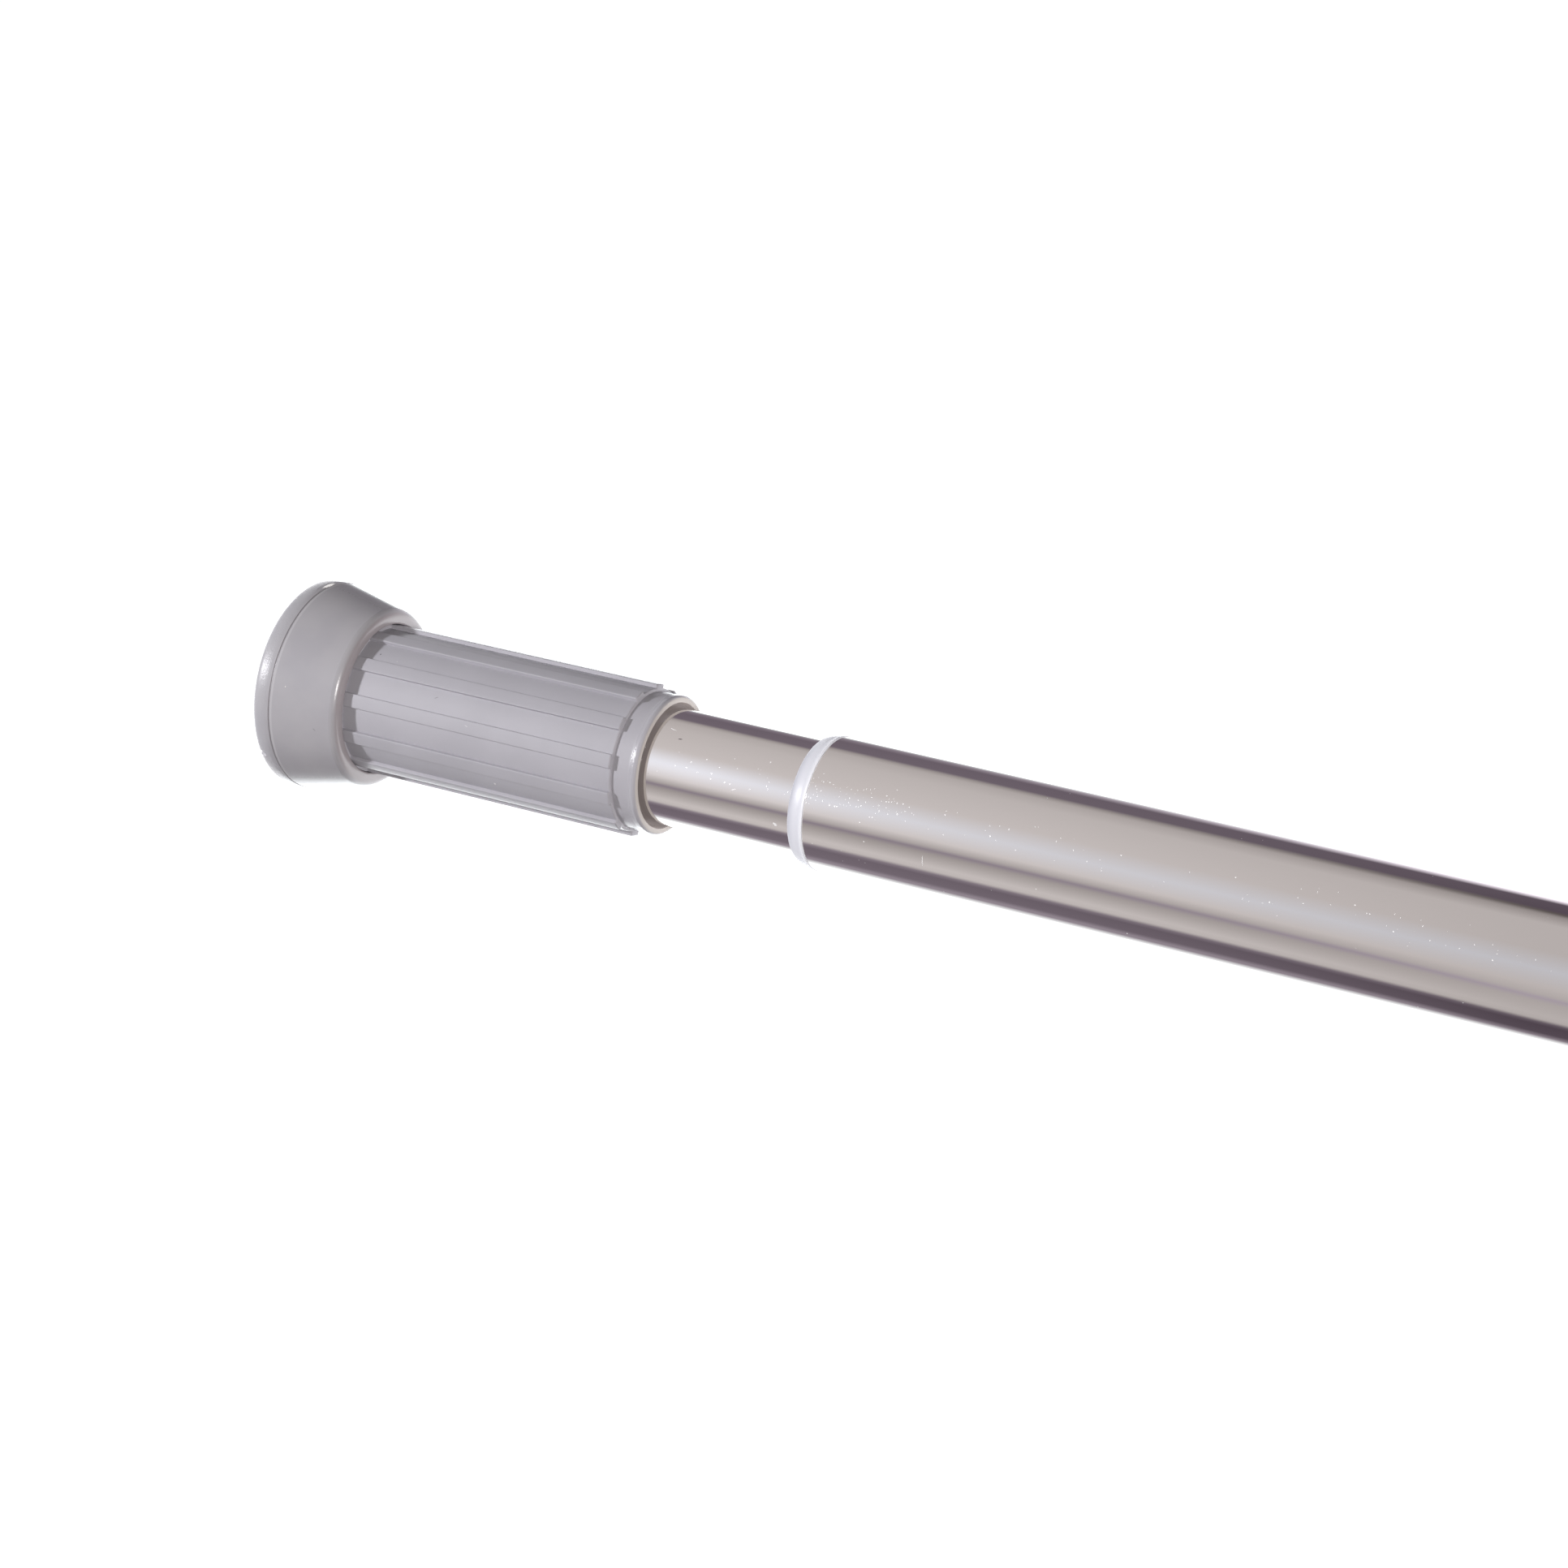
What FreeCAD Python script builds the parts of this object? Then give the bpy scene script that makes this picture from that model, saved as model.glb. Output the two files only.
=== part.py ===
import FreeCAD, Part
import math
import os

# A telescopic curtain rod that is clamped between two walls. Lengths are in millimetres.
# X runs along the rod from the wall face of the handle foot, at the origin, to the fixed end. Z is up.

# Fits and clearances, all on the radius or along the axis
push_fit = 0.15
close_fit = 0.05
running_clearance = 0.10
turning_clearance = 0.30
end_clearance = 0.50

# Tubes and the bush between them
outer_tube_diameter = 25.0
outer_tube_wall = 0.6
outer_tube_length = 600.0
inner_tube_wall = 0.6
exposed_inner_tube = 34.5
bush_wall = 0.65
bush_spigot_length = 30.0
bush_collar_length = 3.5
bush_collar_drop = 0.75
bush_rim_length = 0.5
bush_rim_height = 0.1

# Rubber feet
foot_floor = 4.0
foot_depth = 17.2
foot_rim_width = 3.9
foot_rim_overhang = 3.15
foot_rim_easing = 1.3
foot_parting_step = 0.2
foot_lip_wall = 2.4
foot_lip_clearance = 0.35
foot_lip_outer_easing = 1.6
foot_lip_chamfer = 0.4

# Swivel inside the handle foot
cup_floor = 1.2
cup_wall = 1.05
cup_snap_length = 1.2
cup_snap_step = 0.85
thrust_washer_thickness = 1.0
thrust_washer_bore = 6.0
thrust_washer_land = 6.0

# Ribbed grip
grip_ribbed_end = 76.0
grip_nose_length = 5.0
grip_nose_gap = 1.0
grip_nose_wall = 1.27
grip_nose_easing = 0.5
grip_panel_wall = 1.8
grip_end_wall = 8.0
grip_flange_length = 4.1
grip_flange_step = 1.0
grip_flange_chamfer = 0.5
grip_journal_recess = 0.7
grip_edge_chamfer = 0.3
rib_count = 12
rib_height = 0.7
rib_width = 2.75
rib_draft = 0.15
first_rib_angle = 9.15

# Screw that pushes the handle foot out
screw_travel = 24.0
spindle_diameter = 10.0
spindle_tip = 3.0
spindle_tip_chamfer = 1.0
spindle_head_height = 5.0
hexagon_wall = 2.5
nut_height = 8.0
nut_recess = 0.6
clip_thickness = 0.6
clip_width = 3.0
clip_tooth_count = 6
clip_slot_width = 1.0
clip_slot_depth = 1.4
stop_thickness = 1.0
stop_width = 3.2
stop_groove_depth = 0.8
stop_mouth = 7.6

# Plug that holds the nut in the inner tube
nut_plug_flange = 2.0
nut_plug_body = 20.0
plug_chamfer = 1.0
rivet_diameter = 3.0
rivet_head_diameter = 5.6
rivet_head_height = 0.5
rivet_depth = 3.0
rivet_setback = 14.0

# Twist lock on the inner end of the inner tube
lock_plug_body = 24.0
lock_plug_flange = 2.5
lock_core_depth = 6.0
lock_core_wall = 3.0
cam_offset = 1.2
cam_journal_radius = 5.5
cam_play = 0.5
cam_ring_length = 11.0
cam_slit = 2.4
cam_groove_count = 2
cam_groove_width = 1.2
cam_groove_depth = 0.6
cam_washer_thickness = 1.2
cam_washer_step = 2.0
cam_screw_diameter = 3.4
cam_screw_length = 13.0
cam_screw_head_diameter = 7.2
cam_screw_head_height = 2.4
cam_screw_head_easing = 0.9
cam_screw_slot_width = 1.0
cam_screw_slot_depth = 1.1
lock_pin_diameter = 3.0
lock_pin_wall = 0.6
lock_pin_slot = 0.5
lock_pin_setback = 10.0
lock_pin_sink = 0.2
closed_end_room = 17.0

# Fixed end
far_plug_flange = 3.0
far_plug_depth = 30.0
far_plug_wall = 2.0

X_AXIS = FreeCAD.Vector(1, 0, 0)
Y_AXIS = FreeCAD.Vector(0, 1, 0)
CENTRE = FreeCAD.Vector(0, 0, 0)
PAST_SURFACE = 1.0
EASING_CHORDS = 2

# Radii that follow from the tubes outwards
outer_tube_radius = outer_tube_diameter / 2
outer_bore_radius = outer_tube_radius - outer_tube_wall
bush_spigot_radius = outer_bore_radius - push_fit
bush_bore_radius = bush_spigot_radius - bush_wall
inner_tube_radius = bush_bore_radius - running_clearance
inner_bore_radius = inner_tube_radius - inner_tube_wall
plug_radius = inner_bore_radius - push_fit
grip_bore_radius = inner_tube_radius + grip_nose_gap
grip_nose_radius = grip_bore_radius + grip_nose_wall
grip_panel_radius = grip_bore_radius + grip_panel_wall
rib_radius = grip_panel_radius + rib_height
grip_flange_radius = rib_radius + grip_flange_step
cup_bore_radius = grip_flange_radius + turning_clearance
cup_radius = cup_bore_radius + cup_wall
foot_mouth_radius = rib_radius + foot_lip_clearance
foot_lip_radius = foot_mouth_radius + foot_lip_wall
foot_rim_radius = foot_lip_radius + foot_rim_overhang
spindle_radius = spindle_diameter / 2
nut_bore_radius = spindle_radius + running_clearance
hexagon_across_flats = spindle_diameter + 2 * hexagon_wall

# Stations along the rod, from the handle foot's wall face
cup_start = foot_floor
thrust_washer_start = cup_start + cup_floor
grip_start = thrust_washer_start + thrust_washer_thickness + turning_clearance
grip_flange_end = grip_start + grip_flange_length
cup_snap_start = grip_flange_end + turning_clearance
cup_end = cup_snap_start + cup_snap_length
grip_journal_end = foot_depth - grip_journal_recess
spindle_head_end = grip_start + spindle_head_height
grip_floor = grip_start + grip_end_wall
nut_plug_start = grip_floor + clip_thickness + end_clearance
inner_tube_start = nut_plug_start + nut_plug_flange
nut_plug_end = inner_tube_start + nut_plug_body
nut_start = nut_plug_start + nut_recess
nut_end = nut_start + nut_height
stop_start = nut_plug_end + screw_travel + end_clearance
spindle_end = stop_start + stop_thickness + spindle_tip
grip_end = grip_ribbed_end + grip_nose_length
outer_tube_start = grip_end + exposed_inner_tube
outer_tube_end = outer_tube_start + outer_tube_length
far_plug_start = outer_tube_end - far_plug_depth
far_foot_floor = outer_tube_end + far_plug_flange
rod_length = far_foot_floor + foot_floor
closing_travel = exposed_inner_tube - bush_collar_length
cam_screw_head_end = far_plug_start - closed_end_room - closing_travel
cam_screw_seat = cam_screw_head_end - cam_screw_head_height
cam_journal_end = cam_screw_seat - cam_washer_thickness
cam_ring_start = cam_journal_end - end_clearance - cam_ring_length
lock_flange_end = cam_ring_start - end_clearance
inner_tube_end = lock_flange_end - lock_plug_flange
lock_plug_start = inner_tube_end - lock_plug_body


def along(x, y=0.0, z=0.0):
    return FreeCAD.Vector(x, y, z)


def eased_outline(corners):
    """Closed outline through (x, radius, easing) corners. An eased corner is rounded off by a few short chords."""
    points = [along(x, 0, radius) for x, radius, easing in corners]
    outline = []
    for index, corner in enumerate(points):
        easing = corners[index][2]
        if not easing:
            outline.append(corner)
            continue
        start = corner + (points[index - 1] - corner).normalize() * easing
        end = corner + (points[(index + 1) % len(points)] - corner).normalize() * easing
        for step in range(EASING_CHORDS + 1):
            share = step / EASING_CHORDS
            from_start = start + (corner - start) * share
            to_end = corner + (end - corner) * share
            outline.append(from_start + (to_end - from_start) * share)
    return Part.makePolygon(outline + outline[:1])


def turned(corners):
    """Solid turned about the rod's axis from (x, radius, easing) corners."""
    return Part.Face(eased_outline(corners)).revolve(CENTRE, X_AXIS, 360)


def rod_between(start, end, radius, height=0.0):
    return Part.makeCylinder(radius, end - start, along(start, 0, height), X_AXIS)


def ring_between(start, end, outer_radius, inner_radius):
    return rod_between(start, end, outer_radius).cut(rod_between(start, end, inner_radius))


def hexagon_between(start, end, across_flats):
    """Hexagonal bar along the axis, with a flat on top."""
    corner_radius = across_flats / math.sqrt(3)
    corners = []
    for index in range(7):
        angle = math.radians(60 * index)
        corners.append(along(start, corner_radius * math.cos(angle), corner_radius * math.sin(angle)))
    return Part.Face(Part.makePolygon(corners)).extrude(X_AXIS * (end - start))


def cross_hole(x, radius, reach):
    """Cylinder through the rod from side to side."""
    return Part.makeCylinder(radius, 2 * reach, along(x, -reach), Y_AXIS)


def ring_point(x, radius, angle):
    """Point at an angle from the top of the rod, counted towards the front, which faces -Y."""
    turn = math.radians(angle)
    return along(x, -radius * math.sin(turn), radius * math.cos(turn))


def foot_skin(mouth_radius):
    """Outer corners of a foot, from the middle of its wall face to the mouth of its lip."""
    return [
        (0, 0, 0),
        (0, foot_rim_radius, foot_rim_easing),
        (foot_rim_width, foot_rim_radius, 0),
        (foot_rim_width, foot_rim_radius - foot_parting_step, 0),
        (foot_depth, mouth_radius + foot_lip_wall, foot_lip_outer_easing),
        (foot_depth, mouth_radius + foot_lip_chamfer, 0),
        (foot_depth - foot_lip_chamfer, mouth_radius, 0),
    ]


def handle_foot():
    cup_pocket = cup_radius + close_fit
    inside = [
        (cup_end, foot_mouth_radius, 0),
        (cup_end, cup_pocket, 0),
        (foot_floor, cup_pocket, 0),
        (foot_floor, 0, 0),
    ]
    return turned(foot_skin(foot_mouth_radius) + inside)


def foot_cup():
    snap_radius = cup_bore_radius - cup_snap_step
    return turned([
        (cup_start, 0, 0),
        (cup_start, cup_radius, 0),
        (cup_end, cup_radius, 0),
        (cup_end, snap_radius, 0),
        (cup_snap_start, snap_radius, 0),
        (cup_snap_start, cup_bore_radius, 0),
        (thrust_washer_start, cup_bore_radius, 0),
        (thrust_washer_start, 0, 0),
    ])


def thrust_washer():
    bore = thrust_washer_bore / 2
    end = thrust_washer_start + thrust_washer_thickness
    return ring_between(thrust_washer_start, end, bore + thrust_washer_land, bore)


def ribbed_bar(start, end):
    """Bar with raised ribs along it, from one closed outline of arcs and rib flanks."""
    pitch = 360 / rib_count
    half_top = math.degrees(rib_width / 2 / rib_radius)
    half_root = math.degrees((rib_width / 2 + rib_draft) / grip_panel_radius)
    edges = []
    for index in range(rib_count):
        middle = first_rib_angle + index * pitch
        root_in = ring_point(start, grip_panel_radius, middle - half_root)
        top_in = ring_point(start, rib_radius, middle - half_top)
        top = ring_point(start, rib_radius, middle)
        top_out = ring_point(start, rib_radius, middle + half_top)
        root_out = ring_point(start, grip_panel_radius, middle + half_root)
        panel = ring_point(start, grip_panel_radius, middle + pitch / 2)
        next_root = ring_point(start, grip_panel_radius, middle + pitch - half_root)
        edges.append(Part.LineSegment(root_in, top_in).toShape())
        edges.append(Part.Arc(top_in, top, top_out).toShape())
        edges.append(Part.LineSegment(top_out, root_out).toShape())
        edges.append(Part.Arc(root_out, panel, next_root).toShape())
    return Part.Face(Part.Wire(edges)).extrude(X_AXIS * (end - start))


def grip_sleeve():
    """Sleeve with ribs, a plain journal where the foot's lip runs round it, and the flange that the cup holds."""
    ribs = ribbed_bar(grip_journal_end, grip_ribbed_end)
    envelope = turned([
        (grip_journal_end, 0, 0),
        (grip_journal_end, rib_radius, 0),
        (grip_ribbed_end - grip_edge_chamfer, rib_radius, 0),
        (grip_ribbed_end, grip_panel_radius - grip_edge_chamfer, 0),
        (grip_ribbed_end, 0, 0),
    ])
    flange = turned([
        (grip_start, 0, 0),
        (grip_start, grip_flange_radius - grip_flange_chamfer, 0),
        (grip_start + grip_flange_chamfer, grip_flange_radius, 0),
        (grip_flange_end, grip_flange_radius, 0),
        (grip_flange_end, rib_radius, 0),
        (grip_journal_end, rib_radius, 0),
        (grip_journal_end, 0, 0),
    ])
    nose = turned([
        (grip_ribbed_end, 0, 0),
        (grip_ribbed_end, grip_nose_radius, 0),
        (grip_end, grip_nose_radius, grip_nose_easing),
        (grip_end, 0, 0),
    ])
    sleeve = ribs.common(envelope).fuse([flange, nose])
    sleeve = sleeve.cut(rod_between(grip_floor, grip_end + PAST_SURFACE, grip_bore_radius))
    head_pocket = hexagon_between(grip_start - PAST_SURFACE, spindle_head_end, hexagon_across_flats + 2 * close_fit)
    shank_hole = rod_between(grip_start, grip_floor + PAST_SURFACE, spindle_radius + close_fit)
    return sleeve.cut(head_pocket).cut(shank_hole).removeSplitter()


def drive_spindle():
    """Screw spindle at its thread's outer diameter, with the groove for the stop clip."""
    groove_radius = spindle_radius - stop_groove_depth
    groove_end = stop_start + stop_thickness + running_clearance
    groove_start = stop_start - running_clearance
    shank = turned([
        (spindle_head_end, 0, 0),
        (spindle_head_end, spindle_radius, 0),
        (groove_start, spindle_radius, 0),
        (groove_start, groove_radius, 0),
        (groove_end, groove_radius, 0),
        (groove_end, spindle_radius, 0),
        (spindle_end - spindle_tip_chamfer, spindle_radius, 0),
        (spindle_end, spindle_radius - spindle_tip_chamfer, 0),
        (spindle_end, 0, 0),
    ])
    head = hexagon_between(grip_start, spindle_head_end, hexagon_across_flats)
    return head.fuse(shank)


def spindle_clip():
    """Push-on washer whose teeth bite the spindle behind the grip's end wall."""
    bore = spindle_radius + close_fit
    end = grip_floor + clip_thickness
    washer = ring_between(grip_floor, end, bore + clip_width, bore)
    slot_reach = bore + clip_slot_depth
    for index in range(clip_tooth_count):
        slot = Part.makeBox(clip_thickness, clip_slot_width, slot_reach, along(grip_floor, -clip_slot_width / 2))
        slot.rotate(CENTRE, X_AXIS, 360 * index / clip_tooth_count)
        washer = washer.cut(slot)
    return washer


def spindle_stop():
    """Open retaining ring near the spindle's tip. It meets the plug when the foot is fully out."""
    bore = spindle_radius - stop_groove_depth + close_fit
    end = stop_start + stop_thickness
    ring = ring_between(stop_start, end, bore + stop_width, bore)
    mouth = Part.makeBox(stop_thickness, stop_mouth, 2 * spindle_diameter, along(stop_start, -stop_mouth / 2))
    return ring.cut(mouth)


def nut_plug():
    plug = turned([
        (nut_plug_start, 0, 0),
        (nut_plug_start, grip_bore_radius - running_clearance, 0),
        (inner_tube_start, grip_bore_radius - running_clearance, 0),
        (inner_tube_start, plug_radius, 0),
        (nut_plug_end - plug_chamfer, plug_radius, 0),
        (nut_plug_end, plug_radius - plug_chamfer, 0),
        (nut_plug_end, 0, 0),
    ])
    pocket = hexagon_between(nut_plug_start - PAST_SURFACE, nut_end, hexagon_across_flats + 2 * close_fit)
    passage_radius = spindle_radius + end_clearance
    passage = rod_between(nut_plug_start, nut_plug_end + PAST_SURFACE, passage_radius)
    holes = cross_hole(rivet_station(), rivet_diameter / 2 + close_fit, inner_tube_radius)
    return plug.cut(pocket).cut(passage).cut(holes)


def hex_nut():
    nut = hexagon_between(nut_start, nut_end, hexagon_across_flats)
    return nut.cut(rod_between(nut_start, nut_end, nut_bore_radius))


def rivet_station():
    return inner_tube_start + rivet_setback


def nut_plug_rivets():
    """Two rivets from opposite sides, each through the tube's wall into the plug."""
    shank_length = inner_tube_wall + rivet_depth
    rivets = []
    for side in (-1, 1):
        outward = Y_AXIS * side
        tip = along(rivet_station(), side * (inner_tube_radius - shank_length))
        seat = along(rivet_station(), side * inner_tube_radius)
        shank = Part.makeCylinder(rivet_diameter / 2, shank_length, tip, outward)
        head = Part.makeCylinder(rivet_head_diameter / 2, rivet_head_height, seat, outward)
        rivets.append(shank.fuse(head))
    return Part.makeCompound(rivets)


def inner_tube():
    tube = ring_between(inner_tube_start, inner_tube_end, inner_tube_radius, inner_bore_radius)
    rivet_holes = cross_hole(rivet_station(), rivet_diameter / 2 + close_fit, outer_tube_radius)
    pin_holes = cross_hole(pin_station(), lock_pin_diameter / 2 + close_fit, outer_tube_radius)
    return tube.cut(rivet_holes).cut(pin_holes)


def pin_station():
    return inner_tube_end - lock_pin_setback


def lock_plug():
    """Plug with an eccentric journal that carries the brake ring."""
    core_radius = plug_radius - lock_core_wall
    body = turned([
        (lock_plug_start + lock_core_depth, 0, 0),
        (lock_plug_start + lock_core_depth, core_radius, 0),
        (lock_plug_start, core_radius, 0),
        (lock_plug_start, plug_radius - plug_chamfer, 0),
        (lock_plug_start + plug_chamfer, plug_radius, 0),
        (inner_tube_end, plug_radius, 0),
        (inner_tube_end, inner_tube_radius, 0),
        (lock_flange_end, inner_tube_radius, 0),
        (lock_flange_end, 0, 0),
    ])
    journal = rod_between(lock_flange_end, cam_journal_end, cam_journal_radius, cam_offset)
    screw_tip = cam_screw_seat - cam_screw_length
    screw_hole = rod_between(screw_tip, cam_screw_seat, cam_screw_diameter / 2 + close_fit, cam_offset)
    pin_hole = cross_hole(pin_station(), lock_pin_diameter / 2 + close_fit, inner_tube_radius)
    return body.fuse(journal).cut(screw_hole).cut(pin_hole)


def lock_pin():
    """Slotted spring pin through the inner tube and the lock plug, just below the tube's surface."""
    radius = lock_pin_diameter / 2
    reach = inner_tube_radius - lock_pin_sink
    start = along(pin_station(), -reach)
    pin = Part.makeCylinder(radius, 2 * reach, start, Y_AXIS)
    bore = Part.makeCylinder(radius - lock_pin_wall, 2 * reach, start, Y_AXIS)
    slot_corner = along(pin_station() - lock_pin_slot / 2, -reach)
    slot = Part.makeBox(lock_pin_slot, 2 * reach, lock_pin_diameter, slot_corner)
    return pin.cut(bore).cut(slot)


def cam_ring():
    """Split brake ring, round outside and eccentric inside, with gripping lands."""
    end = cam_ring_start + cam_ring_length
    outer_radius = outer_bore_radius - turning_clearance
    ring = rod_between(cam_ring_start, end, outer_radius)
    land_pitch = cam_ring_length / (cam_groove_count + 1)
    for index in range(cam_groove_count):
        groove_start = cam_ring_start + (index + 1) * land_pitch - cam_groove_width / 2
        groove_end = groove_start + cam_groove_width
        ring = ring.cut(ring_between(groove_start, groove_end, outer_bore_radius, outer_radius - cam_groove_depth))
    ring = ring.cut(rod_between(cam_ring_start, end, cam_journal_radius + cam_play, cam_offset))
    slit = Part.makeBox(cam_ring_length, cam_slit, outer_tube_radius, along(cam_ring_start, -cam_slit / 2))
    return ring.cut(slit)


def cam_washer():
    radius = cam_journal_radius + cam_washer_step
    washer = rod_between(cam_journal_end, cam_screw_seat, radius, cam_offset)
    hole = rod_between(cam_journal_end, cam_screw_seat, cam_screw_diameter / 2 + close_fit, cam_offset)
    return washer.cut(hole)


def cam_screw():
    head_radius = cam_screw_head_diameter / 2
    head = turned([
        (cam_screw_seat, 0, 0),
        (cam_screw_seat, head_radius, 0),
        (cam_screw_head_end, head_radius, cam_screw_head_easing),
        (cam_screw_head_end, 0, 0),
    ])
    slot_start = cam_screw_head_end - cam_screw_slot_depth
    slot_corner = along(slot_start, -head_radius, -cam_screw_slot_width / 2)
    slot = Part.makeBox(cam_screw_slot_depth, 2 * head_radius, cam_screw_slot_width, slot_corner)
    head = head.cut(slot)
    head.translate(along(0, 0, cam_offset))
    shank = rod_between(cam_screw_seat - cam_screw_length, cam_screw_seat, cam_screw_diameter / 2, cam_offset)
    return head.fuse(shank)


def outer_tube():
    return ring_between(outer_tube_start, outer_tube_end, outer_tube_radius, outer_bore_radius)


def collar_bush():
    """White guide bush: a bevelled collar with a thin rim that seats on the outer tube's end."""
    collar_start = outer_tube_start - bush_collar_length
    rim_start = outer_tube_start - bush_rim_length
    rim_radius = outer_tube_radius + bush_rim_height
    nose_radius = outer_tube_radius - bush_collar_drop
    return turned([
        (collar_start, bush_bore_radius, 0),
        (collar_start, nose_radius, bush_wall / 2),
        (rim_start, outer_tube_radius - bush_rim_height, 0),
        (rim_start, rim_radius, 0),
        (outer_tube_start, rim_radius, 0),
        (outer_tube_start, bush_spigot_radius, 0),
        (outer_tube_start + bush_spigot_length, bush_spigot_radius, 0),
        (outer_tube_start + bush_spigot_length, bush_bore_radius, 0),
    ])


def far_plug():
    bore = outer_bore_radius - push_fit - far_plug_wall
    return turned([
        (far_plug_start, bore, 0),
        (far_plug_start, outer_bore_radius - push_fit - plug_chamfer, 0),
        (far_plug_start + plug_chamfer, outer_bore_radius - push_fit, 0),
        (outer_tube_end, outer_bore_radius - push_fit, 0),
        (outer_tube_end, outer_tube_radius, 0),
        (far_foot_floor, outer_tube_radius, 0),
        (far_foot_floor, 0, 0),
        (outer_tube_end, 0, 0),
        (outer_tube_end, bore, 0),
    ])


def far_foot():
    """The handle foot's form again, turned round, with a narrower mouth that grips the outer tube."""
    mouth_radius = outer_tube_radius + running_clearance
    foot = turned(foot_skin(mouth_radius) + [(foot_floor, mouth_radius, 0), (foot_floor, 0, 0)])
    foot.rotate(CENTRE, FreeCAD.Vector(0, 0, 1), 180)
    foot.translate(along(rod_length))
    return foot


PIECES = [
    handle_foot,
    foot_cup,
    thrust_washer,
    grip_sleeve,
    drive_spindle,
    spindle_clip,
    spindle_stop,
    nut_plug,
    hex_nut,
    nut_plug_rivets,
    inner_tube,
    lock_plug,
    lock_pin,
    cam_ring,
    cam_washer,
    cam_screw,
    outer_tube,
    collar_bush,
    far_plug,
    far_foot,
]


def main():
    os.makedirs("parts", exist_ok=True)
    for piece in PIECES:
        shape = piece()
        shape.exportStep("parts/" + piece.__name__ + ".step")
        print(piece.__name__, shape.isValid(), len(shape.Solids), round(shape.Volume, 1), shape.BoundBox)


main()
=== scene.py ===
# %% [markdown]
# # A telescopic shower curtain rod
# Two polished tubes slide in each other between rubber feet. A ribbed grip turns a screw that pushes one
# foot against the wall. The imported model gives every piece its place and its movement, so it is loaded
# first and stays as it is. This file dresses it: finer turned pieces where the eye falls, and a finish for
# every surface.

# %% Load the frame
import math

import bmesh
import bpy
from mathutils import Matrix, Vector


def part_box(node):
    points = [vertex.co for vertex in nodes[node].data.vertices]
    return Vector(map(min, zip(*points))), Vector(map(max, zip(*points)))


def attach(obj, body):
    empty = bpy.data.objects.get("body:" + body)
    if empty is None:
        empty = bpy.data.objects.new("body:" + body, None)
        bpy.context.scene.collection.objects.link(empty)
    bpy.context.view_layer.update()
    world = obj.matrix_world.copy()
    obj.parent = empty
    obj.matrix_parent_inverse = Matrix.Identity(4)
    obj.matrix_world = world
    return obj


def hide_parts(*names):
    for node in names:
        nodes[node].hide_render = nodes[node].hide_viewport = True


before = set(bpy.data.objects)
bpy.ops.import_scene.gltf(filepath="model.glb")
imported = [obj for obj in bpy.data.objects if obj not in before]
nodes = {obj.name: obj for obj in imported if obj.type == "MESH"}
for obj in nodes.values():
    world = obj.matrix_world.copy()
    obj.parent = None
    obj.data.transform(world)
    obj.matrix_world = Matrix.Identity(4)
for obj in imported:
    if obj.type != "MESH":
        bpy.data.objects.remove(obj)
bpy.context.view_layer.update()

# %% [markdown]
# ## Sizes
# The main sizes are read from the boxes of the CAD nodes, so the finer pieces can't drift away from them.
# What the boxes don't tell is written down once, in millimetres, and both the shapes and the finishes use
# it.

# %% Sizes from the frame, in millimetres
def measured(node):
    """Start, end and radius of a round CAD node."""
    low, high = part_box(node)
    return tuple(round(length * 1000, 2) for length in (low.x, high.x, high.z))


foot_face, foot_depth, rim_radius = measured("handle_foot")
rod_length = measured("far_foot")[1]
grip_start, grip_end, flange_radius = measured("grip_sleeve")
inner_start, inner_end, inner_radius = measured("inner_tube")
outer_start, outer_end, outer_radius = measured("outer_tube")
bush_start, bush_end, bush_radius = measured("collar_bush")
print("rod", rod_length, "long, foot", 2 * rim_radius, "wide")
print("tubes", 2 * inner_radius, "and", 2 * outer_radius, "wide")

# %% Sizes of the foot and the grip
rim_crown = 2.0
groove_start = 3.82
groove_width = 0.2
groove_depth = 0.24
groove_end = groove_start + groove_width
lip_radius = 17.25
wall_thickness = 4.0

ribs_start, ribs_end = 16.5, 76.0
panel_radius, rib_radius, nose_radius, bore_radius = 13.8, 14.5, 13.27, 12.0
rib_count = 12
first_rib_angle = 9.15
cone_slope = math.degrees(math.atan2(rim_radius - lip_radius, foot_depth - groove_end))
print("the foot's cone slopes", round(cone_slope, 1), "degrees")
print("a rib stands", round(rib_radius - panel_radius, 2), "high")

# %% [markdown]
# ## Camera
# The rod is seen from a little above and from its fixed side, through a long lens that keeps the tubes
# nearly parallel. A camera could be placed by eye, but here its angles and its distance are written down,
# and it looks past the mouth of the outer tube, the clearest mark on the rod.

# %% Camera
elevation = math.radians(25.02)
azimuth = math.radians(28.946)
rightward = Vector((math.cos(azimuth), math.sin(azimuth), 0))
forward = Vector((-math.sin(azimuth), math.cos(azimuth), 0)) * math.cos(elevation)
forward.z = -math.sin(elevation)
upward = rightward.cross(forward)
tube_mouth = Vector((outer_start / 1000, 0, 0))
right_of_mouth, above_mouth, before_mouth = -0.0091437, 0.0036548, 0.7346128

camera = bpy.data.objects.new("camera", bpy.data.cameras.new("camera"))
bpy.context.scene.collection.objects.link(camera)
camera.data.sensor_width = 36
camera.data.lens = 92.387
camera.location = tube_mouth + right_of_mouth * rightward + above_mouth * upward - before_mouth * forward
camera.rotation_euler = Matrix((rightward, upward, -forward)).transposed().to_euler()
camera.data.clip_start = 0.01
bpy.context.scene.camera = camera
bpy.context.scene.view_settings.view_transform = "Standard"
print("camera at", tuple(round(value, 4) for value in camera.location))

# %% [markdown]
# ## Node arithmetic
# A finish is a small sum: grain times strength, one minus a mask. Drawn by hand that is a web of Math
# nodes. Here a wire stands for one output socket, and plain arithmetic on wires adds the nodes.

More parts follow.
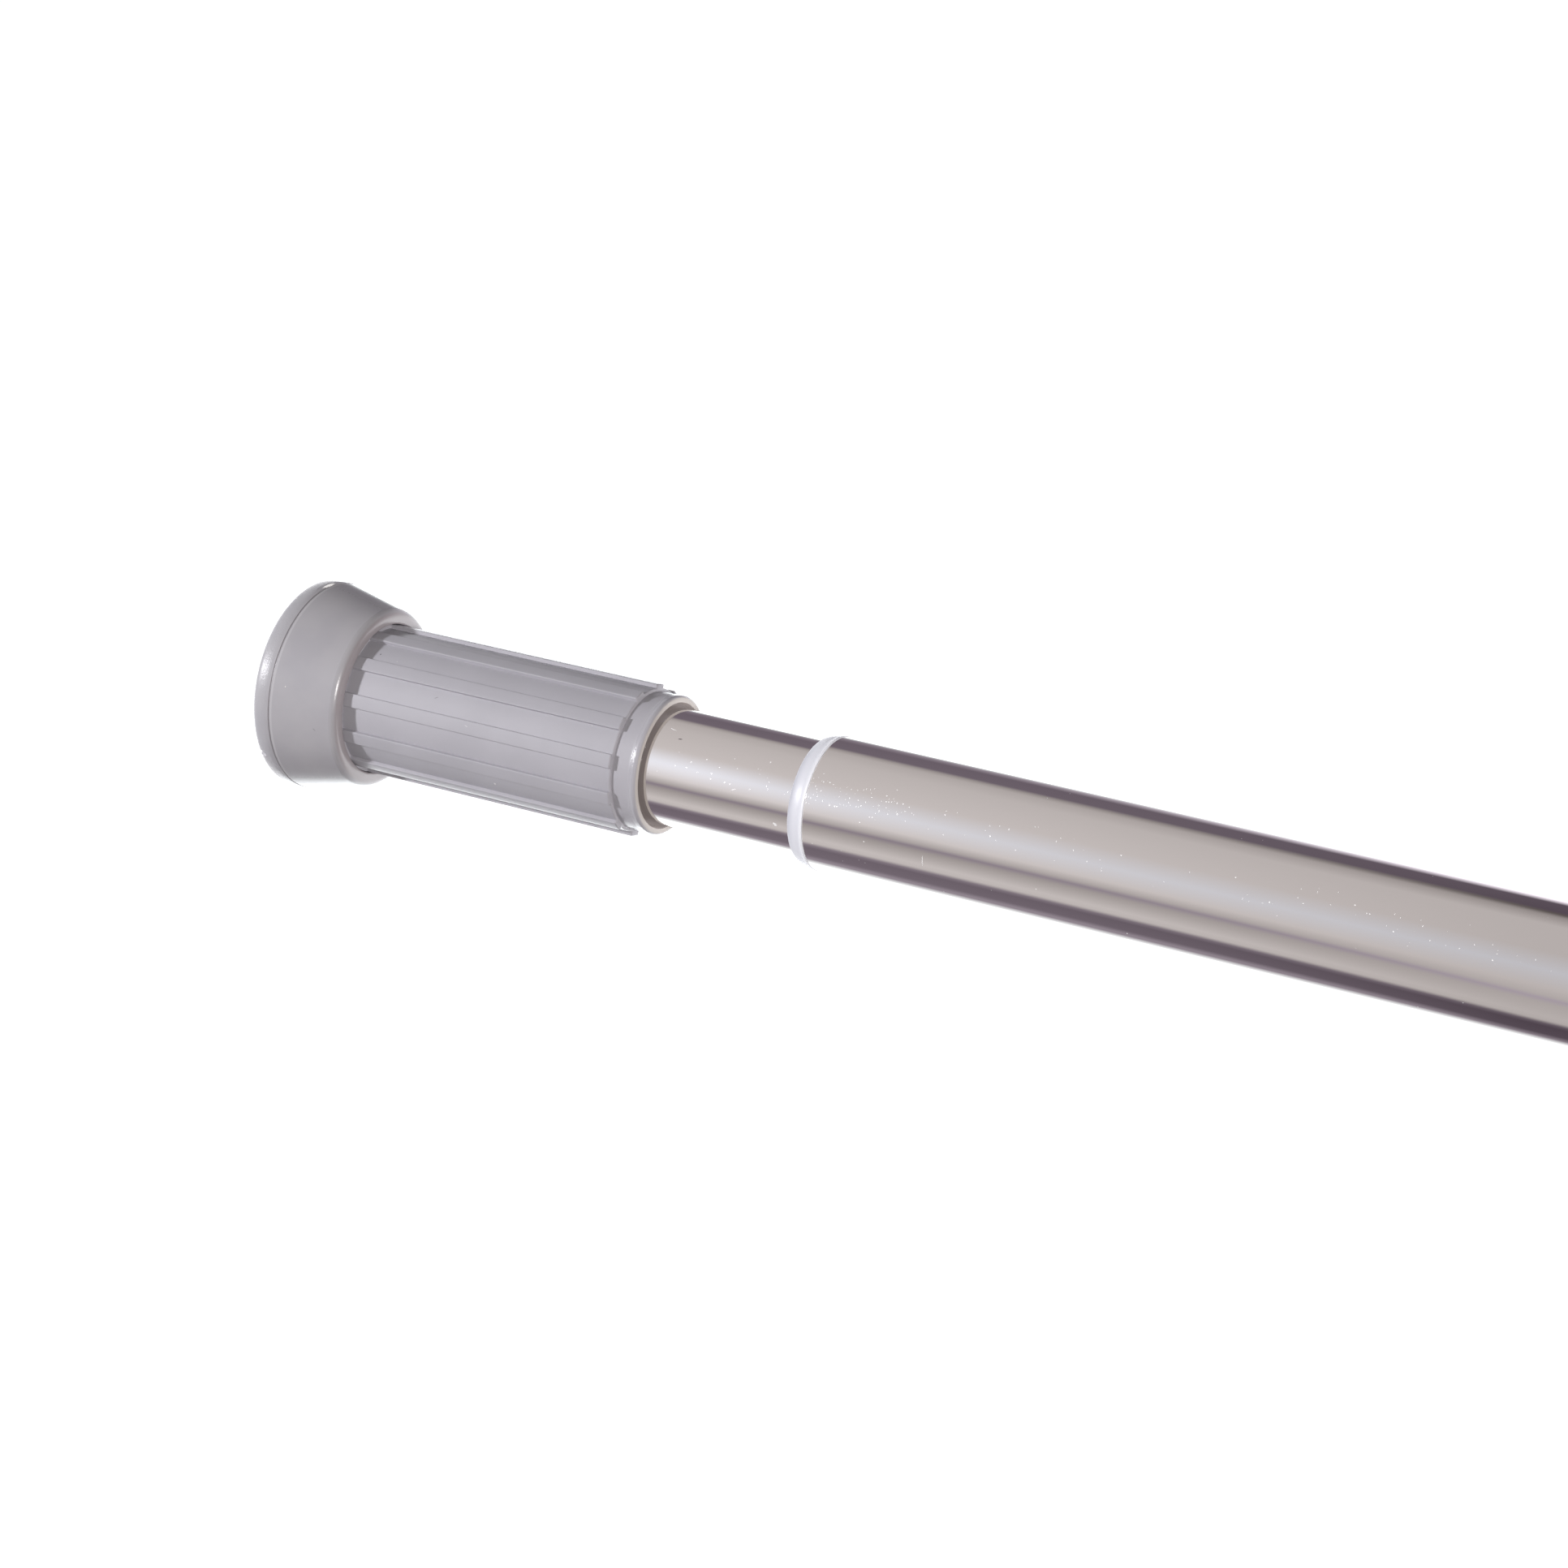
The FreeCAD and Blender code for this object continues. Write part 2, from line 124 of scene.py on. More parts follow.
# %% Wires
class Wire:
    """One output of a node. Arithmetic on wires and numbers adds Math nodes."""

    def __init__(self, tree, socket=None):
        self.tree = tree
        self.socket = socket

    def node(self, kind, settings=None, inputs=None, output=""):
        """Add any node: its type, its settings, then what its sockets get, by name or in order."""
        added = self.tree.nodes.new("ShaderNode" + kind)
        for name, value in (settings or {}).items():
            if name == "stops":
                set_stops(added.color_ramp, value)
            else:
                setattr(added, name, value)
        free = [socket for socket in added.inputs if socket.enabled]
        given = inputs.items() if isinstance(inputs, dict) else enumerate(inputs or ())
        for key, value in given:
            socket = free[key] if isinstance(key, int) else next(one for one in free if one.name == key)
            if isinstance(value, Wire):
                self.tree.links.new(value.socket, socket)
            else:
                socket.default_value = value
        made = [socket for socket in added.outputs if socket.enabled]
        if output:
            return Wire(self.tree, next(one for one in made if one.name == output))
        return Wire(self.tree, made[0] if made else None)

    def math(self, operation, *others):
        """A Math node with this wire in its first socket."""
        return self.node("Math", {"operation": operation}, (self, *others))

    def twin(self, name):
        """Another output of the node that this wire comes from."""
        return Wire(self.tree, self.socket.node.outputs[name])

    def parts(self):
        """The x, y and z of a vector."""
        split = self.node("SeparateXYZ", None, [self])
        return [split.twin(axis) for axis in "XYZ"]

    def stretched(self, *factors):
        """A vector with its x, y and z multiplied by three factors."""
        return self.node("VectorMath", {"operation": "MULTIPLY"}, [self, factors])

    def __add__(self, other):
        return self.math("ADD", other)

    def __sub__(self, other):
        return self.math("SUBTRACT", other)

    def __rsub__(self, other):
        return self.node("Math", {"operation": "SUBTRACT"}, (other, self))

    def __mul__(self, other):
        return self.math("MULTIPLY", other)

    __radd__ = __add__
    __rmul__ = __mul__

    def between(self, low, high):
        """0 below low, 1 above high, and a smooth step from one to the other."""
        return self.node(
            "MapRange",
            {"interpolation_type": "SMOOTHSTEP"},
            {"Value": self, "From Min": low, "From Max": high},
        )

    def window(self, rise, fall):
        """1 between two smooth steps. Each step is given by where it starts and ends."""
        return self.between(*rise) * (1 - self.between(*fall))


def set_stops(ramp, stops):
    """Give a colour ramp its (position, colour) stops."""
    while len(ramp.elements) > 1:
        ramp.elements.remove(ramp.elements[-1])
    for index, (position, colour) in enumerate(stops):
        stop = ramp.elements.new(position) if index else ramp.elements[0]
        stop.position = position
        stop.color = colour


# %% Colours
def linear_light(value):
    """The linear light that shaders use, for a brightness from 0 to 255 on a screen. Above 255 it goes on."""
    share = value / 255
    return share / 12.92 if value < 11 else ((share + 0.055) / 1.055) ** 2.4


def screen_colour(*brightness):
    """A colour for a shader, from its red, green and blue on a screen."""
    return (*(linear_light(value) for value in brightness), 1.0)


def mixed(share, first, second):
    """Between two colours, by a share from 0 to 1."""
    return share.node("Mix", {"data_type": "RGBA"}, {"Factor": share, "A": first, "B": second})


print("mid grey is", round(linear_light(128), 3), "in linear light")

# %% [markdown]
# ## Light
# Polished metal shows its surroundings, so the studio is part of the finish. The rod hangs in a white tent
# with a pale wall above it, a darker floor strip and a gap to either side, and these run along the rod as
# bands. The bands are painted on the world by the angle round the rod's axis, which costs nothing and keeps
# their edges soft.

# %% The tent's bands
tube_tint = screen_colour(224, 221, 219)
warm, plum, cool, clear = (6, -2, -4), (4, -7, 2), (0, -2, 3), (0, 0, 0)
tent_bands = [
    # degrees from the top towards the front, tint, brightness by the handle, brightness further along
    (-180, plum, 140, 130),
    (-169, clear, 240, 250),
    (-160, clear, 370, 370),
    (-104, clear, 370, 370),
    (-94, clear, 190, 300),
    (-85, plum, 120, 245),
    (-70, plum, 100, 85),
    (-46, plum, 105, 80),
    (-40, warm, 150, 85),
    (-33, warm, 170, 140),
    (-14, warm, 180, 175),
    (32, warm, 190, 175),
    (60, cool, 205, 190),
    (86, warm, 195, 180),
    (98, warm, 165, 170),
    (104, plum, 130, 160),
    (111, warm, 150, 165),
    (133, warm, 190, 175),
    (141, warm, 185, 170),
    (147, plum, 125, 95),
    (153, plum, 105, 75),
    (171, plum, 110, 80),
    (180, plum, 140, 130),
]


def tent_stops(further):
    """Ramp stops by the handle (0) or further along (1): what the tube has to mirror to look like that."""
    stops = []
    for degrees, tint, *brightness in tent_bands:
        seen_light = screen_colour(*(brightness[further] + shift for shift in tint))
        sent_light = [light / share for light, share in zip(seen_light[:3], tube_tint)]
        stops.append(((degrees + 180) / 360, (*sent_light, 1.0)))
    return stops


print(len(tent_bands), "bands round the rod")

# %% [markdown]
# Rays that leave the tube more sideways see a part of the tent further along, where the dark bands are
# deeper. On the way there the lower bands bend a little. A cool glow fills the front by the handle, and the
# tent's end wall, which only the faces across the rod can mirror, is white. Three kinds of ray get three
# answers: the camera sees plain white, mirrored rays see the bands, and the light on matt surfaces is a
# small even fill, which can't tint them.

# %% The tent on the world
near_ray, far_ray = -0.46, -0.26
bend_start, bend_end, bend_degrees = 70, 95, 18
glow_bearing, glow_reach, glow_strength = 64, 38, 0.26
end_wall_start, end_wall_full = 0.50, 0.56
end_wall_white = (2.2, 2.2, 2.25, 1)
fill_level = 0.09

world = bpy.data.worlds.new("tent")
bpy.context.scene.world = world
world.use_nodes = True
world.node_tree.nodes.clear()
sky = Wire(world.node_tree)
along, back, up = sky.node("TexCoord", None, None, "Generated").parts()
bearing = (0 - back).math("ARCTAN2", up) * (180 / math.pi)
sideways = sky.node("Clamp", None, [(along - near_ray) * (1 / (far_ray - near_ray))])
bend = bearing.between(bend_start, bend_end) * sideways * (1 - sideways) * bend_degrees
band_place = (bearing + bend) * (1 / 360) + 0.5
by_handle = sky.node("ValToRGB", {"stops": tent_stops(0)}, [band_place])
further_on = sky.node("ValToRGB", {"stops": tent_stops(1)}, [band_place])
bands = mixed(sideways * sideways, by_handle, further_on)

off_glow = (bearing - glow_bearing).math("ABSOLUTE")
glow = (1 - off_glow.between(0, glow_reach)) * (1 - sideways).math("POWER", 4) * glow_strength
cool_glow = sky.node("CombineColor", None, [glow, glow * 1.06, glow * 1.2])
add_light = {"data_type": "RGBA", "blend_type": "ADD"}
bands = sky.node("Mix", add_light, {"Factor": 1.0, "A": bands, "B": cool_glow})
bands = mixed((0 - along).between(end_wall_start, end_wall_full), bands, end_wall_white)

camera_ray = sky.node("LightPath", None, None, "Is Camera Ray")
lit_by_tent = mixed(camera_ray.twin("Is Glossy Ray"), (fill_level, fill_level, fill_level, 1), bands)
background = sky.node("Background", None, [mixed(camera_ray, lit_by_tent, (1, 1, 1, 1)), 1.0])
sky.node("OutputWorld", None, [background])
print(len(world.node_tree.nodes), "nodes paint the tent")

# %% [markdown]
# Three lamps stand in the tent. A small key from the front left draws the glints and the short shadows
# behind the lip and the ribs. A wider one from the right lights the faces that look along the rod. A soft
# one behind lights the far side, and the metal doesn't mirror it.

# %% Lamps
view_centre = Vector((0.08, 0, 0))
lamp_distance = 2


def lamp(name, towards, width, watts, colour):
    """A round area lamp that stands in a direction from the middle of the view and looks back at it."""
    towards = Vector(towards).normalized()
    made = bpy.data.objects.new(name, bpy.data.lights.new(name, "AREA"))
    bpy.context.scene.collection.objects.link(made)
    made.data.shape = "DISK"
    made.data.size = width
    made.data.energy = watts
    made.data.color = colour
    made.location = view_centre + lamp_distance * towards
    made.rotation_euler = (-towards).to_track_quat("-Z", "Y").to_euler()
    print(name, "at", tuple(round(value, 2) for value in made.location))
    return made


lamp("key", (-0.66, -0.645, 0.385), 0.16, 26.5, (0.97, 0.97, 1.0))
lamp("side fill", (0.80, -0.52, 0.26), 0.4, 24, (1.0, 0.96, 0.93))
back_light = lamp("back light", (0.20, 0.96, -0.17), 0.8, 24, (0.98, 0.97, 1.0))
back_light.visible_glossy = False

# %% [markdown]
# ## Floor
# A wall-to-wall rod touches no floor, and a floor just below it would put a shadow in the picture. This
# floor lies well below. It adds its own white for the camera only, so it fills the picture and still keeps
# a shadow.

# %% Floor
floor_height = -0.6
shape = bmesh.new()
bmesh.ops.create_grid(shape, x_segments=8, y_segments=8, size=12)
bmesh.ops.translate(shape, vec=(0, 0, floor_height), verts=shape.verts[:])
floor_mesh = bpy.data.meshes.new("floor")
shape.to_mesh(floor_mesh)
shape.free()
floor = bpy.data.objects.new("floor", floor_mesh)
bpy.context.scene.collection.objects.link(floor)
floor.visible_glossy = False

floor_paint = bpy.data.materials.new("floor")
floor_paint.use_nodes = True
floor_paint.node_tree.nodes.clear()
paint = Wire(floor_paint.node_tree)
seen = paint.node("LightPath", None, None, "Is Camera Ray")
matt = paint.node("BsdfDiffuse", None, {"Color": (0.35, 0.35, 0.35, 1)})
shown = mixed(seen, (0, 0, 0, 1), (0.98, 0.98, 0.98, 1))
white = paint.node("Emission", None, {"Color": shown, "Strength": 1.0})
paint.node("OutputMaterial", None, [paint.node("AddShader", None, [matt, white])])
floor_mesh.materials.append(floor_paint)
print("floor", floor_height, "m below the rod's axis")

# %% [markdown]
# ## Finishes
# A finish could be one colour with one roughness, and it would look like a drawing. Each one here starts
# from the place on the piece in millimetres, so that grain, dust and marks keep their real size, and adds a
# few of them.

# %% A finish and its coordinates
def new_finish(name):
    """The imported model's material of that name, emptied, with the place on the piece in millimetres."""
    material = bpy.data.materials[name]
    material.use_nodes = True
    material.node_tree.nodes.clear()
    wire = Wire(material.node_tree)
    metres = wire.node("TexCoord", None, None, "Object")
    return material, wire.node("VectorMath", {"operation": "SCALE"}, {"Vector": metres, "Scale": 1000.0})


def close_finish(material, place, **sockets):
    """Add the surface shader. A socket's name is written with _ for a space."""
    named = {name.replace("_", " "): value for name, value in sockets.items()}
    shader = place.node("BsdfPrincipled", None, named)
    place.node("OutputMaterial", None, [shader])
    print(material.name, "is made of", len(material.node_tree.nodes), "nodes")


def round_rod(place):
    """Place along the rod, degrees from its top towards the front, and distance from its axis."""
    x, y, z = place.parts()
    return x, (0 - y).math("ARCTAN2", z) * (180 / math.pi), (y * y + z * z).math("SQRT")


# %% Grain, specks and relief
def grain(place, scale, detail=2.0):
    """Soft noise around 0.5, with its scale in waves a millimetre."""
    return place.node("TexNoise", None, {"Vector": place, "Scale": scale, "Detail": detail})


def specks(place, scale, share, size):
    """1 on scattered round specks: cells a millimetre, share of cells with one, and its size in a cell."""
    cell = place.node("TexVoronoi", None, {"Vector": place, "Scale": scale})
    luck = place.node("SeparateColor", None, [cell.twin("Color")])
    radius = (luck.twin("Green") + 0.4) * size
    return (1 - cell.between(radius * 0.6, radius)) * luck.between(1 - share, 1 - share + 0.001)


def glancing(place, facing, edge):
    """A roughness that falls towards the outline, where even a satin surface mirrors."""
    tilt = place.node("LayerWeight", None, {"Blend": 0.5}, "Facing")
    return facing - tilt.between(0.45, 0.85) * (facing - edge)


def relief(height, depth):
    """Normals for a height from 0 to 1 that stands for a depth in millimetres."""
    return height.node("Bump", None, {"Strength": 1.0, "Distance": depth / 1000, "Height": height}, "Normal")


# %% Marks placed one by one
def mark(place, station, bearing, radius, half_length, half_width, lean=0, ragged=0.6):
    """1 on one small mark at a station and a bearing, with its length along the rod before it leans."""
    x, angle, _ = round_rod(place)
    ahead = x - station
    aside = (angle - bearing) * (math.pi / 180 * radius)
    lean = math.radians(lean)
    lengthwise = (ahead * math.cos(lean) + aside * math.sin(lean)) * (1 / half_length)
    crosswise = (aside * math.cos(lean) - ahead * math.sin(lean)) * (1 / half_width)
    reach = (lengthwise * lengthwise + crosswise * crosswise).math("SQRT")
    return 1 - (reach + (grain(place, 3.0) - 0.5) * ragged).between(0.6, 1.0)


def marks(place, *rows):
    """The sum of several marks. Each row is a strength and then what mark() takes."""
    return sum(mark(place, *row) * strength for strength, *row in rows)


# %% [markdown]
# ### Grey rubber
# The feet are moulded in a soft grey rubber. It is satin: a fine grain breaks up the highlight, and a few
# specks of dust cling to it. The rim and the lip are smoother, because hands and walls rub them. Beside the
# parting line a paler band is a painted highlight, where the edge of the cone catches the light, and the
# groove is painted darker as shade. On top the flash is torn; that patch is painted paler and given a weak
# glow, painted light for what shines through the thin rubber. The lip's end face is painted darker as shade.
# Painting these is enough, because the flash stands out less than a hair.

# %% Grey rubber
foot_rubber, place = new_finish("foot_rubber")
x = place.parts()[0]
from_wall = x.math("MINIMUM", rod_length - x)
on_rim = from_wall.window((rim_crown - 1.0, rim_crown - 0.3), (rim_crown + 0.9, rim_crown + 1.6))
on_lip = from_wall.between(foot_depth - 1.8, foot_depth - 1.2)
face_shade = from_wall.between(foot_depth - 0.6, foot_depth - 0.2)
# painted highlight: a paler band just past the parting groove, where the cone's edge catches the light
parting_highlight = from_wall.window((groove_end + 0.06, groove_end + 0.18), (groove_end + 0.38, groove_end + 0.58))
groove = from_wall.window((groove_start - 0.10, groove_start + 0.04), (groove_end - 0.04, groove_end + 0.08))
# painted light: the torn flash on top is painted paler and glows, for light shining through it
torn_glow = mark(place, 3.5, -6, 20.3, 0.4, 2.3, ragged=1.2)
dust = specks(place, 0.45, 0.05, 0.09) + marks(
    place,
    (1.0, 6.8, 68, 19.8, 0.16, 0.16),
    (1.0, 1.0, 15, 20.4, 0.2, 0.25),
)
scuff = mark(place, 13.0, 91, 18.2, 0.5, 0.10, 50) * 0.5

mottle = grain(place, 0.12, 3).between(0.35, 0.65)
tone = mixed(mottle, screen_colour(176, 174, 180), screen_colour(181, 179, 184))
# painted shade: the lip's end face, which looks along the rod, is darkened
tone = mixed(face_shade, tone, screen_colour(166, 159, 163))
# the painted highlight beside the parting line
tone = mixed(parting_highlight * 0.5, tone, screen_colour(208, 206, 210))
# painted shade in the parting groove (groove), and a real dark scuff on the cone (scuff)
tone = mixed((groove * 0.4 + scuff).math("MINIMUM", 1), tone, screen_colour(104, 96, 102))
close_finish(
    foot_rubber,
    place,
    Base_Color=mixed((dust + torn_glow).math("MINIMUM", 1), tone, screen_colour(226, 223, 220)),
    Roughness=glancing(place, 0.34, 0.10) - on_rim * 0.06 - on_lip * 0.12 + grain(place, 3.0) * 0.06,
    Normal=relief(grain(place, 4.0, 2) * (0.3 + on_rim * 0.7), 0.035),
    IOR=1.5,
    # the painted glow of the torn flash
    Emission_Color=mixed(torn_glow, (0, 0, 0, 1), (0.5, 0.49, 0.48, 1)),
    Emission_Strength=1.0,
)

# %% [markdown]
# ### Grey plastic
# The grip is a hard plastic of the same grey, a little duller on its panels and glossier on its nose. The
# light that the tube throws back into the bore and on the end of the grip would take a renderer many
# samples to find. Here those surfaces glow a little instead, which gives the same warm grey without the
# wait. The end face is also painted a paler, warmer grey, painted light from the same cause.

# %% Grey plastic
grip_plastic, place = new_finish("grip_plastic")
x, _, distance = round_rod(place)
on_nose = x.window((grip_end - 1.9, grip_end - 1.3), (grip_end - 0.6, grip_end - 0.3))
end_face_light = x.between(grip_end - 0.10, grip_end - 0.02)
by_tube = 1 - distance.between(bore_radius + 0.2, bore_radius + 1.4)
dust = specks(place, 0.4, 0.06, 0.08) + mark(place, 44.5, 68, rib_radius, 0.5, 0.08, 20) * 0.6
scuff = marks(
    place,
    (1.0, 20.7, 26.5, panel_radius, 0.14, 0.20),
    (0.6, 36.3, 52, panel_radius, 0.5, 0.08, -30),
)

mottle = grain(place, 0.08, 3).between(0.35, 0.65)
tone = mixed(mottle, screen_colour(177, 175, 182), screen_colour(181, 179, 186))
# painted light: the nose's end face, which looks along the rod, is painted paler and warmer
tone = mixed(end_face_light, tone, screen_colour(196, 191, 188))
tone = mixed(scuff.math("MINIMUM", 1), tone, screen_colour(104, 100, 104))
close_finish(
    grip_plastic,
    place,
    Base_Color=mixed(dust.math("MINIMUM", 1), tone, screen_colour(224, 222, 222)),
    Roughness=glancing(place, 0.54, 0.20) - on_nose * 0.34 + grain(place, 2.5) * 0.06,
    Normal=relief(grain(place, 4.0, 2) * (0.3 + on_nose * 0.7), 0.035),
    IOR=1.5,
    Emission_Color=mixed(by_tube, (0, 0, 0, 1), (0.12, 0.10, 0.09, 1)),
    Emission_Strength=1.0,
)

# %% [markdown]
# ### Polished tube
# The tubes are rolled steel with a bright finish. Handling leaves hairlines and dust. The specks are
# scattered mostly on the side that the key lamp lights, and most of all behind the bush, where the thin tube
# wipes it off, so there they are painted glints of the lamp as well as dust. Dust is not metal, so it lowers
# Metallic. A photograph of scratches would need an image file, while cells and a few marks give the same
# sparkle.

# %% Polished tube
polished_tube, place = new_finish("polished_tube")
x, angle, distance = round_rod(place)
lit_side = angle.window((36, 48), (58, 74))
on_outer_tube = distance.between(outer_radius - 0.55, outer_radius - 0.45)
behind_bush = on_outer_tube * (1 - x.between(outer_start + 1.5, outer_start + 34.5))
# dust and painted highlight: white specks gathered on the lamp's side stand for its glints
dust = specks(place, 1.7, 0.01 + lit_side * (0.12 + behind_bush * 0.7), 0.2)
dust = dust + specks(place.stretched(1.0, 0.35, 0.35), 2.4, lit_side * (0.04 + behind_bush * 0.6), 0.15)
hairs = marks(
    place,
    (0.7, 84.4, 25, inner_radius, 0.9, 0.08, 12),
    (0.7, 100.2, 70.5, inner_radius, 0.7, 0.07, -25),
    (0.7, 109.2, 95, inner_radius, 0.5, 0.3, 30, 2.0),
    (0.7, 140, 92, outer_radius, 0.07, 1.3),
)
stain = mark(place, 86.7, 34, inner_radius, 0.5, 0.11, -8)
dust = (dust + hairs).math("MINIMUM", 1)
drawn = place.stretched(0.04, 1.0, 1.0)
close_finish(
    polished_tube,
    place,
    Base_Color=mixed(dust, mixed(stain, tube_tint, screen_colour(110, 104, 108)), (0.95, 0.95, 0.95, 1)),
    Metallic=1 - dust,
    Roughness=0.03 + grain(drawn, 1.5) * 0.02 + dust * 0.6,
    Normal=relief(grain(drawn, 0.8, 2), 0.002),
)

# %% [markdown]
# ### Milky plastic
# The bush is a milky plastic that lets light into it. Subsurface scattering would be the exact way, but on
# a collar 3 mm long it shows as no more than a lift of the shadows, which a weak glow gives too. The collar
# is painted greyer towards its mouth, and its flange at the tube's edge nearly white.

# %% Milky plastic
bush_plastic, place = new_finish("bush_plastic")
x = place.parts()[0]
on_collar = x.between(bush_start - 0.2, bush_start + 1.9)
on_flange = x.between(outer_start - 1.0, outer_start - 0.3)
tone = mixed(on_collar, screen_colour(176, 176, 186), screen_colour(217, 217, 224))
tone = mixed(on_flange, tone, screen_colour(240, 240, 244))
close_finish(
    bush_plastic,
    place,
    Base_Color=mixed(grain(place, 0.2) * 0.3, tone, screen_colour(212, 212, 220)),
    Roughness=0.34 + grain(place, 3.0) * 0.06,
    Emission_Color=(0.9, 0.9, 1.0, 1),
    Emission_Strength=0.12,
)

# %% [markdown]
# ### Hidden plastics and steels
# The pieces inside show only when the rod is taken apart. Moulded plugs, a turned spindle and two rivets
# differ in colour, in shine and in the scale of their grain, so one short recipe with a row of values for
# each is enough.

# %% Hidden plastics and steels
hidden_finishes = [
    # name, patches a mm, their detail, dark and light colour, metal,
    # roughness, its spread and its grain a mm, the relief's grain a mm and its depth in mm
    ("swivel_plastic", 0.3, 2.0, (228, 228, 226), (236, 236, 234), 0.0, 0.30, 0.15, 2.0, 1.5, 0.010),
    ("plug_plastic", 0.4, 2.0, (38, 38, 40), (50, 50, 52), 0.0, 0.42, 0.20, 2.0, 2.5, 0.015),
    ("screw_steel", 0.5, 3.0, (176, 176, 174), (200, 200, 196), 1.0, 0.28, 0.20, 3.0, 3.0, 0.010),
    ("rivet_aluminium", 0.8, 2.0, (206, 207, 208), (222, 223, 224), 1.0, 0.35, 0.20, 4.0, 4.0, 0.010),
]
for row in hidden_finishes:
    name, patches, detail, dark, light, metal, rough, spread, rough_grain, relief_grain, depth = row
    hidden_finish, place = new_finish(name)
    close_finish(
        hidden_finish,
        place,
        Base_Color=mixed(grain(place, patches, detail), screen_colour(*dark), screen_colour(*light)),
        Metallic=metal,
        Roughness=rough + grain(place, rough_grain) * spread,
        Normal=relief(grain(place, relief_grain), depth),
    )

# %% [markdown]
# ## Turning
# Almost every piece is round about one axis. Half of its section is drawn as a few corners and spun, as on
# a lathe, and the rings that are soft on the real piece are rounded with a bevel. Shapes are built in
# millimetres.

# %% Turning
NEAR = 0.001


def turned(corners, steps=256):
    """Spin (x, radius) corners about the rod's axis. A section with both ends on the axis isn't closed."""
    shape = bmesh.new()
    section = [shape.verts.new((x, 0, radius)) for x, radius in corners]
    edges = [shape.edges.new(pair) for pair in zip(section, section[1:])]
    if corners[0][1] or corners[-1][1]:
        edges.append(shape.edges.new((section[-1], section[0])))
    bmesh.ops.spin(
        shape,
        geom=section + edges,
        cent=(0, 0, 0),
        axis=(1, 0, 0),
        dvec=(0, 0, 0),
        angle=math.tau,
        steps=steps,
        use_merge=True,
        use_duplicate=False,
    )
    bmesh.ops.remove_doubles(shape, verts=shape.verts[:], dist=NEAR / 10)
    bmesh.ops.recalc_face_normals(shape, faces=shape.faces[:])
    return shape


def radius_of(point):
    return math.hypot(point.y, point.z)


def angle_of(point):
    """Degrees from the top of the rod towards the front."""
    return math.degrees(math.atan2(-point.y, point.z))


# %% Easing edges
def ring(shape, x, radius):
    """The edges that run round the rod at one station and radius."""
    here = [vert for vert in shape.verts if abs(vert.co.x - x) < NEAR]
    on_ring = {vert for vert in here if abs(radius_of(vert.co) - radius) < NEAR}
    return [edge for edge in shape.edges if on_ring.issuperset(edge.verts)]


def ease(shape, edges, size, segments):
    """Round edges off over a size in millimetres."""
    bmesh.ops.bevel(
        shape,
        geom=edges,
        offset=size,
        offset_type="OFFSET",
        segments=segments,
        profile=0.5,
        affect="EDGES",
        material=-1,
        clamp_overlap=True,
    )


# %% A dressed piece
def dressed(shape, name, finish, body, replaced, sharp_above=35):
    """Make a piece of a shape in millimetres. It gets its finish and rides for the nodes it replaces."""
    bmesh.ops.scale(shape, vec=(0.001, 0.001, 0.001), verts=shape.verts[:])
    mesh = bpy.data.meshes.new(name)
    shape.to_mesh(mesh)
    shape.free()
    mesh.shade_smooth()
    mesh.set_sharp_from_angle(angle=math.radians(sharp_above))
    mesh.materials.append(finish)
    piece = bpy.data.objects.new(name, mesh)
    bpy.context.scene.collection.objects.link(piece)
    even = piece.modifiers.new("even shading", "WEIGHTED_NORMAL")
    even.keep_sharp = True
    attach(piece, body)
    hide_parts(*replaced)
    widest = max(radius_of(vert.co) for vert in mesh.vertices) * 1000
    print(name, len(mesh.polygons), "faces, radius", round(widest, 2))
    return piece


# %% [markdown]
# ## Feet
# A foot is a thick rubber disc whose rim stands out past a cone. A parting line of the mould runs between
# the rim and the cone: a fine groove. The rim is slightly crowned and the lip at the mouth is rounded. Both
# feet share one section, so it is drawn once and only the inside differs.

# %% The foot's outer form
rim_drop = 0.12
rim_edge_drop = 0.08
cone_drop = 0.18
foot_steps = 384


def foot_corners(mouth_radius):
    """Corners from the middle of the wall face to the mouth of the lip."""
    return [
        (foot_face, 0),
        (foot_face, rim_radius - rim_drop),
        (rim_crown, rim_radius),
        (groove_start, rim_radius - rim_edge_drop),
        (groove_start, rim_radius - groove_depth),
        (groove_end, rim_radius - groove_depth),
        (groove_end, rim_radius - cone_drop),
        (foot_depth, lip_radius),
        (foot_depth, mouth_radius),
    ]


def ease_foot(shape, mouth_radius):
    """Soften the rim, the groove and the lip."""
    ease(shape, ring(shape, rim_crown, rim_radius), 0.6, 5)
    ease(shape, ring(shape, foot_face, rim_radius - rim_drop), 1.2, 8)
    ease(shape, ring(shape, groove_start, rim_radius - rim_edge_drop), 0.10, 3)
    ease(shape, ring(shape, groove_end, rim_radius - cone_drop), 0.12, 3)
    ease(shape, ring(shape, foot_depth, lip_radius), 1.5, 8)
    ease(shape, ring(shape, foot_depth, mouth_radius), 0.4, 4)


print(len(foot_corners(0)), "corners from the wall face to the mouth")

# %% [markdown]
# The handle foot has a pocket behind its lip, where the swivel cup sits. A small nick low on its rim is
# pushed in afterwards, because a dent in one place can't be turned.

